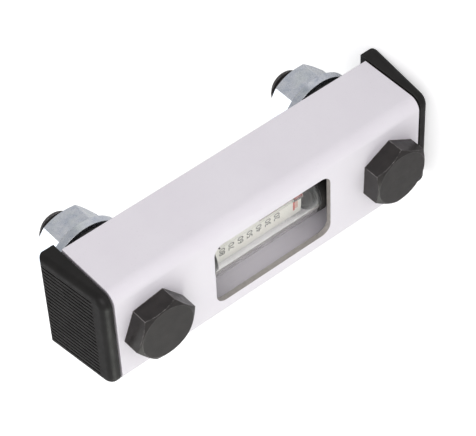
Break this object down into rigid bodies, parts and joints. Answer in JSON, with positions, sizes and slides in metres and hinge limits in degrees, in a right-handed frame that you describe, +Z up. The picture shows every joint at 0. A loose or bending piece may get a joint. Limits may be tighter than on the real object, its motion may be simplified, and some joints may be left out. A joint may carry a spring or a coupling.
{
  "type": "tank level gauge",
  "caption": "Oil level gauge for a tank wall: windowed white channel, black ribbed end blocks, clear sight tube with thermometer, hollow hex bolts with seals, washers and nuts.",
  "frame": {"origin": "on the tank wall (the rear faces of the wall seals), midway between the two mounting bolts", "axes": "+Z up along the gauge, +Y into the tank along the bolts, -Y out of the window, +X to the side"},
  "size_m": [0.0318, 0.0464, 0.1088],
  "materials": {
    "white_paint": "satin powder coat",
    "black_plastic": "moulded, slight sheen",
    "clear_plastic": "clear moulded plastic",
    "scale_white": "printed, satin",
    "thermometer_glass": "clear",
    "red_liquid": "liquid",
    "black_rubber": "matt",
    "black_steel": "black oxide, satin",
    "zinc_plate": "bright zinc, mottled"
  },
  "bodies": {
    "root": {"housing": "white_paint", "upper_end_block": "black_plastic", "lower_end_block": "black_plastic", "sight_tube": "clear_plastic", "scale_plate": "scale_white", "thermometer_glass": "thermometer_glass", "thermometer_liquid": "red_liquid", "upper_tube_ring": "black_rubber", "upper_bolt": "black_steel", "upper_front_ring": "black_rubber", "upper_rear_ring": "black_rubber", "upper_wall_seal": "black_rubber", "upper_washer": "zinc_plate", "upper_nut": "zinc_plate", "lower_tube_ring": "black_rubber", "lower_bolt": "black_steel", "lower_front_ring": "black_rubber", "lower_rear_ring": "black_rubber", "lower_wall_seal": "black_rubber", "lower_washer": "zinc_plate", "lower_nut": "zinc_plate"}
  },
  "joints": []
}
